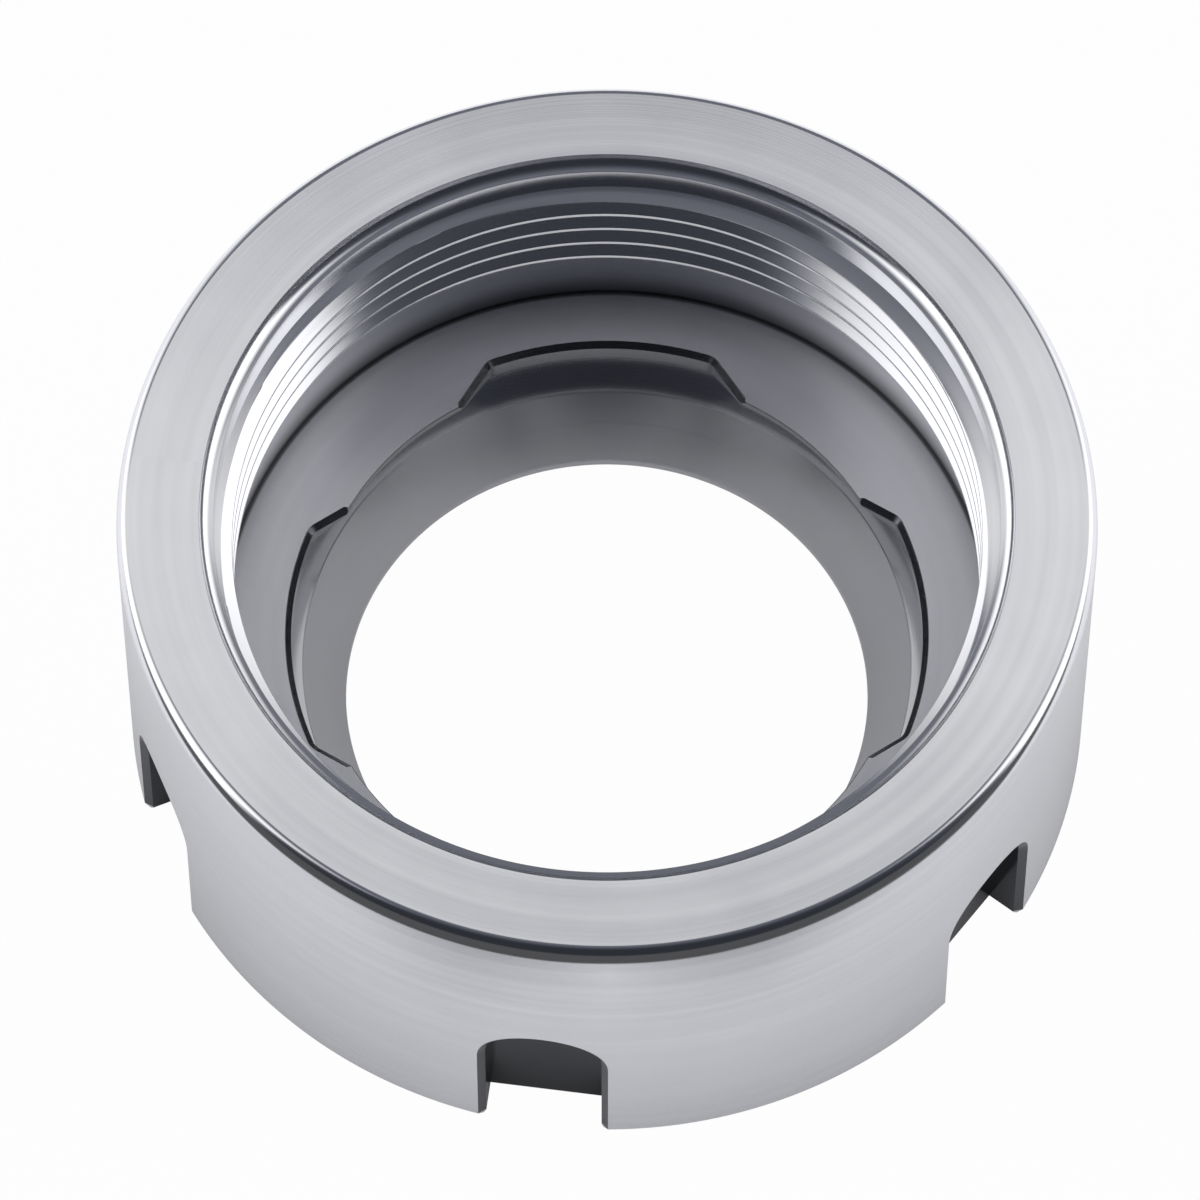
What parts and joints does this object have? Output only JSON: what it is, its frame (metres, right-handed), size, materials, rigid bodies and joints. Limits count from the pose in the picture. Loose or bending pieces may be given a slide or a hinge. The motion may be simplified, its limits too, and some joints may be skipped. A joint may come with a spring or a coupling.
{
  "type": "collet nut",
  "caption": "Round slotted collet nut: threaded mouth, lobed inner lip that pulls the collet, conical seat and through bore.",
  "frame": {"origin": "on the axis, at the front face that carries the spanner slots", "axes": "+Z along the axis towards the threaded mouth; -Y through the middle of one spanner slot"},
  "size_m": [0.05, 0.05, 0.0216],
  "materials": {
    "turned_steel": "hardened steel, fine turned and ground, bright, with faint concentric turning marks"
  },
  "bodies": {
    "root": {"collet_nut": "turned_steel"}
  },
  "joints": []
}
